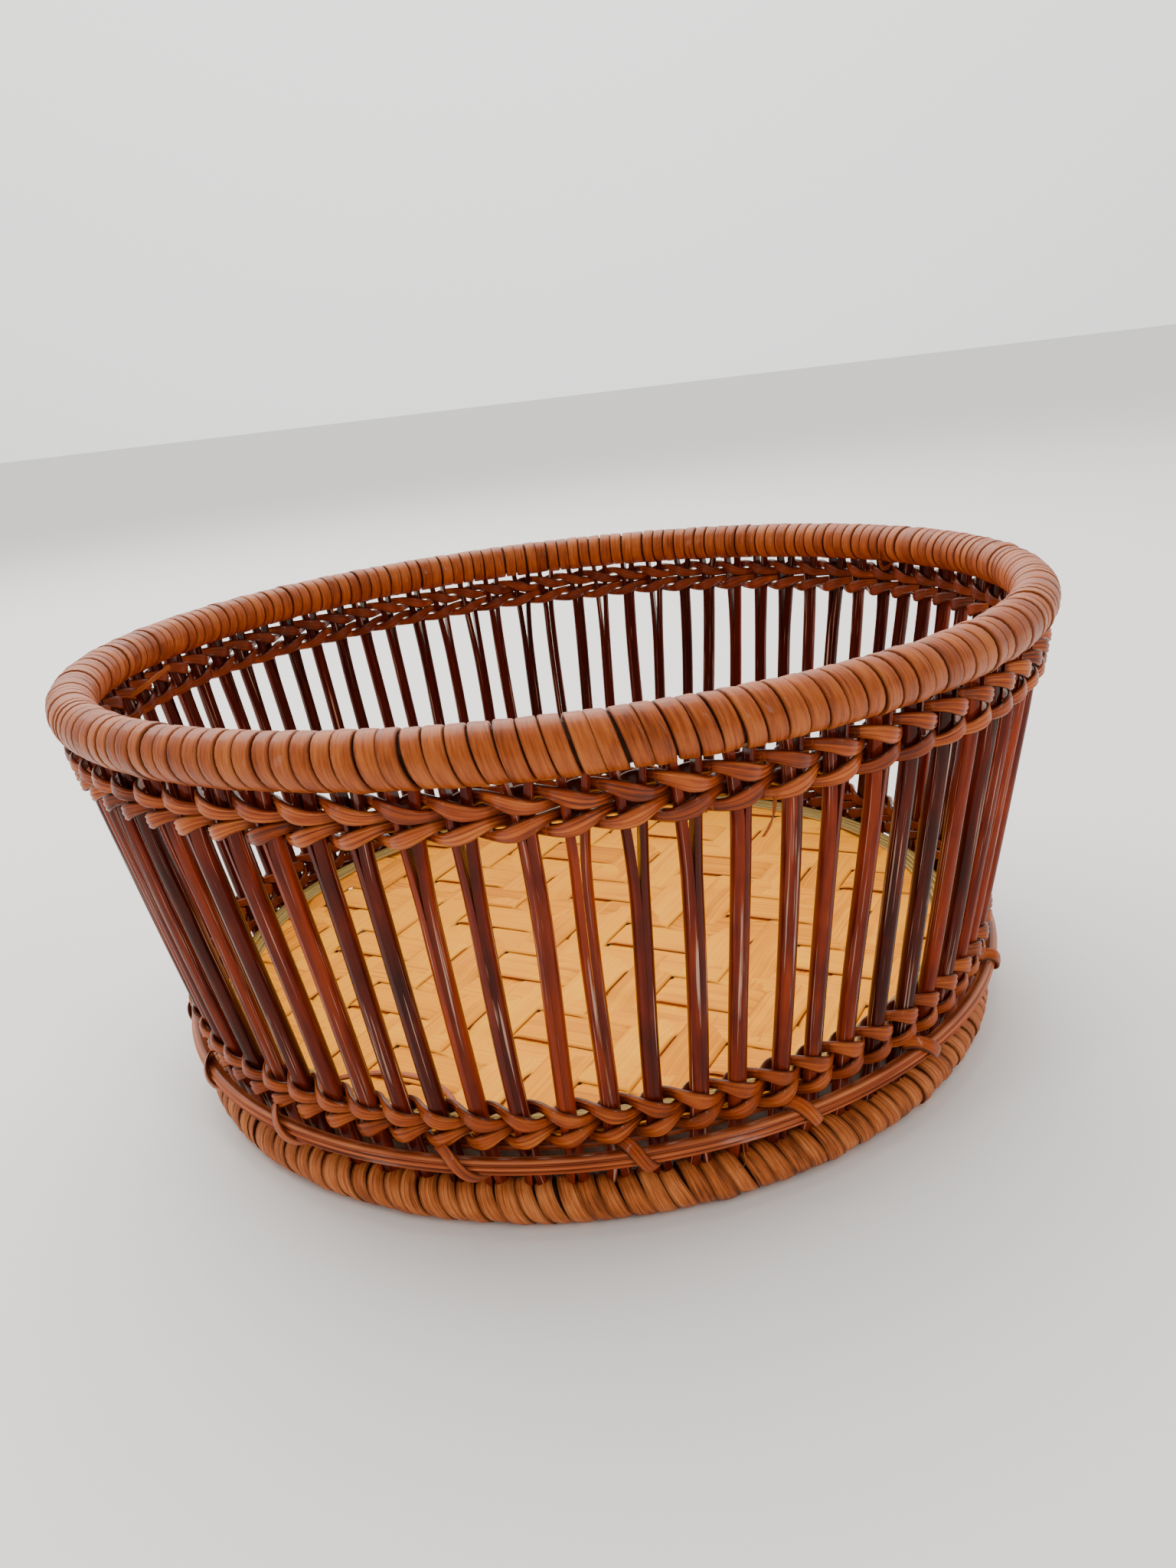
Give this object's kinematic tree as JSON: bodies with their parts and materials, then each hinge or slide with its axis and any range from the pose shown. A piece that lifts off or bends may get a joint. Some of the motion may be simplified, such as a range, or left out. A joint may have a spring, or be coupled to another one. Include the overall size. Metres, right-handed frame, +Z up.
{
  "type": "wicker pet bed basket",
  "caption": "Low round wicker pet bed basket: cane stakes on a bamboo mat, with a bound foot ring, twined bands and a bound rim.",
  "frame": {"origin": "on the floor under the middle of the basket, at the underside of the bound foot ring", "axes": "+Z up along the basket's axis; X and Y are alike because the basket is round, and stake pair 01 starts on +X"},
  "size_m": [0.3338, 0.3338, 0.1509],
  "materials": {
    "rim_cane": "satin lacquered split cane, wound",
    "foot_cane": "satin lacquered split cane, fibrous",
    "core_cane": "matte round cane, hidden",
    "stake_cane": "glossy mahogany-stained round cane",
    "weaver_cane": "satin rust-brown flat cane",
    "hoop_cane": "satin red-brown cane with lengthwise grooves",
    "mat_bamboo": "satin honey-tan bamboo strips",
    "splint_bamboo": "satin pale green-tan bamboo splints"
  },
  "bodies": {
    "root": {"rim_wrap": "rim_cane", "rim_core": "core_cane", "foot_wrap": "foot_cane", "foot_core": "core_cane", "stake_pair_01": "stake_cane", "stake_pair_02": "stake_cane", "stake_pair_03": "stake_cane", "stake_pair_04": "stake_cane", "stake_pair_05": "stake_cane", "stake_pair_06": "stake_cane", "stake_pair_07": "stake_cane", "stake_pair_08": "stake_cane", "stake_pair_09": "stake_cane", "stake_pair_10": "stake_cane", "stake_pair_11": "stake_cane", "stake_pair_12": "stake_cane", "stake_pair_13": "stake_cane", "stake_pair_14": "stake_cane", "stake_pair_15": "stake_cane", "stake_pair_16": "stake_cane", "stake_pair_17": "stake_cane", "stake_pair_18": "stake_cane", "stake_pair_19": "stake_cane", "stake_pair_20": "stake_cane", "stake_pair_21": "stake_cane", "stake_pair_22": "stake_cane", "stake_pair_23": "stake_cane", "stake_pair_24": "stake_cane", "stake_pair_25": "stake_cane", "stake_pair_26": "stake_cane", "stake_pair_27": "stake_cane", "stake_pair_28": "stake_cane", "stake_pair_29": "stake_cane", "stake_pair_30": "stake_cane", "stake_pair_31": "stake_cane", "stake_pair_32": "stake_cane", "stake_pair_33": "stake_cane", "stake_pair_34": "stake_cane", "stake_pair_35": "stake_cane", "stake_pair_36": "stake_cane", "stake_pair_37": "stake_cane", "stake_pair_38": "stake_cane", "upper_row_1_weaver_a": "weaver_cane", "upper_row_1_weaver_b": "weaver_cane", "upper_row_2_weaver_a": "weaver_cane", "upper_row_2_weaver_b": "weaver_cane", "lower_row_1_weaver_a": "weaver_cane", "lower_row_1_weaver_b": "weaver_cane", "lower_row_2_weaver_a": "weaver_cane", "lower_row_2_weaver_b": "weaver_cane", "outer_hoop": "hoop_cane", "inner_hoop": "core_cane", "hoop_lashing": "weaver_cane", "base_mat": "mat_bamboo", "mat_splint_1": "splint_bamboo", "mat_splint_2": "splint_bamboo", "mat_splint_3": "splint_bamboo"}
  },
  "joints": []
}
